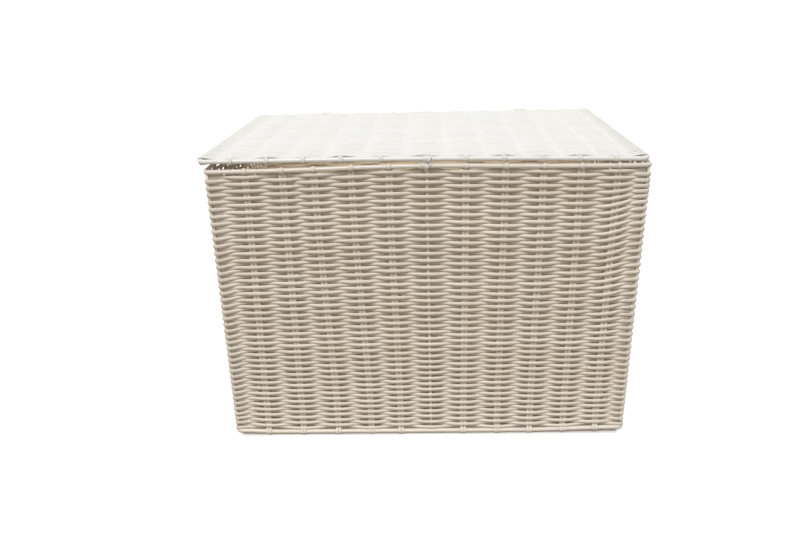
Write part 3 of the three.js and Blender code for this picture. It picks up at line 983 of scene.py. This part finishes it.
def floor_mesh():
    """A flat disc whose edge bends up into a wall all round."""
    profile = [(FLOOR_FLAT, 0.0)]
    for i in range(1, FLOOR_BEND_STEPS + 1):
        angle = i / FLOOR_BEND_STEPS * math.pi / 2
        profile.append((FLOOR_FLAT + FLOOR_BEND * math.sin(angle), FLOOR_BEND * (1 - math.cos(angle))))
    profile.append((FLOOR_FLAT + FLOOR_BEND, FLOOR_TOP))
    turn = [i / FLOOR_SIDES * 2 * math.pi for i in range(FLOOR_SIDES)]
    points = [(0, 0, 0)] + [(r * math.cos(a), r * math.sin(a), z) for r, z in profile for a in turn]
    faces = [(0, 1 + i, 1 + (i + 1) % FLOOR_SIDES) for i in range(FLOOR_SIDES)]
    for ring in range(len(profile) - 1):
        low = 1 + ring * FLOOR_SIDES
        high = low + FLOOR_SIDES
        for i in range(FLOOR_SIDES):
            j = (i + 1) % FLOOR_SIDES
            faces.append((low + i, high + i, high + j, low + j))
    mesh = bpy.data.meshes.new("floor")
    mesh.from_pydata(points, [], faces)
    mesh.polygons.foreach_set("use_smooth", [True] * len(mesh.polygons))
    return mesh


def floor_material():
    """Pale, with a glow that keeps it nearly white everywhere but under the trunk and just past the foot
    of its front and back, where the missing glow is a painted shadow.
    """
    material, nodes, links = new_material("floor")
    shader = nodes["Principled BSDF"]
    shader.inputs["Base Color"].default_value = (0.9, 0.9, 0.9, 1)
    shader.inputs["Roughness"].default_value = 0.9
    shader.inputs["Emission Color"].default_value = (1, 1, 1, 1)
    where = nodes.new("ShaderNodeTexCoord")
    axes = nodes.new("ShaderNodeSeparateXYZ")
    links.new(where.outputs["Object"], axes.inputs["Vector"])
    beyond = nodes.new("ShaderNodeMath")
    beyond.operation = "MAXIMUM"
    for i, (axis, half) in enumerate(FOOTPRINT):
        size = nodes.new("ShaderNodeMath")
        size.operation = "ABSOLUTE"
        links.new(axes.outputs[axis], size.inputs[0])
        past = nodes.new("ShaderNodeMath")
        past.operation = "SUBTRACT"
        past.inputs[1].default_value = half
        links.new(size.outputs["Value"], past.inputs[0])
        links.new(past.outputs["Value"], beyond.inputs[i])
    # No glow inside the footprint and a thin band past it: a painted shadow under the trunk and a painted
    # dark line along its base.
    glow = mapped(material, beyond.outputs["Value"], 0.0, FLOOR_GLOW, GLOW_START, GLOW_FULL)
    links.new(glow, shader.inputs["Emission Strength"])
    return material


def add_floor():
    """A pale floor that rises in a smooth curve all round, so that no horizon shows."""
    floor = bpy.data.objects.new("floor", floor_mesh())
    floor.data.materials.append(floor_material())
    floor.visible_diffuse = False
    floor.visible_glossy = False
    floor.visible_shadow = False
    bpy.context.scene.collection.objects.link(floor)


def add_sky():
    world = bpy.data.worlds.new("studio")
    world.use_nodes = True
    nodes, links = world.node_tree.nodes, world.node_tree.links
    direction = nodes.new("ShaderNodeTexCoord")
    axes = nodes.new("ShaderNodeSeparateXYZ")
    links.new(direction.outputs["Generated"], axes.inputs["Vector"])
    height = mapped(world, axes.outputs["Z"], 0.0, 1.0, -1.0, 1.0)
    ramp = nodes.new("ShaderNodeValToRGB")
    stops = ramp.color_ramp.elements
    stops.new(0.5)
    for stop, (place, colour) in zip(stops, SKY):
        stop.position = place
        stop.color = (*colour, 1)
    links.new(height, ramp.inputs["Fac"])
    links.new(ramp.outputs["Color"], nodes["Background"].inputs["Color"])
    bpy.context.scene.world = world


def new_light(name, kind, energy, colour, turn):
    light = bpy.data.lights.new(name, kind)
    light.energy = energy
    light.color = colour
    lamp = bpy.data.objects.new(name, light)
    lamp.rotation_euler = [math.radians(angle) for angle in turn]
    bpy.context.scene.collection.objects.link(lamp)
    return light, lamp


def add_light():
    """Suns and a sky, and inside the trunk the warm light that its weave would let through."""
    add_sky()
    for name, energy, spread, turn in SUNS:
        sun, _ = new_light(name, "SUN", energy, SUN_COLOUR, turn)
        sun.angle = math.radians(spread)
    glow, lamp = new_light("inner_glow", "AREA", INNER_POWER, INNER_COLOUR, (INNER_TILT, 0, 0))
    glow.shape = "RECTANGLE"
    glow.size, glow.size_y = INNER_SIZE
    lamp.location = (0, 0, INNER_HEIGHT)
    lamp.visible_camera = False


def add_camera():
    data = bpy.data.cameras.new("camera")
    data.lens = LENS
    data.sensor_width = SENSOR
    data.clip_end = CAMERA_FAR
    camera = bpy.data.objects.new("camera", data)
    place = Matrix.Translation(CAMERA_PLACE)
    for axis, angle in CAMERA_TURN:
        place = place @ Matrix.Rotation(math.radians(angle), 4, axis)
    camera.matrix_world = place @ Matrix.Rotation(math.pi / 2, 4, "X")
    bpy.context.scene.collection.objects.link(camera)
    bpy.context.scene.camera = camera


# --- The whole scene, in the order that the random draws need ------------------------------------

add_rods()
add_stakes()
add_walls()
add_lid_weave()
add_bottom_weave()
add_lashings()
add_bindings()
add_floor()
add_light()
add_camera()
bpy.context.scene.view_settings.view_transform = "Standard"
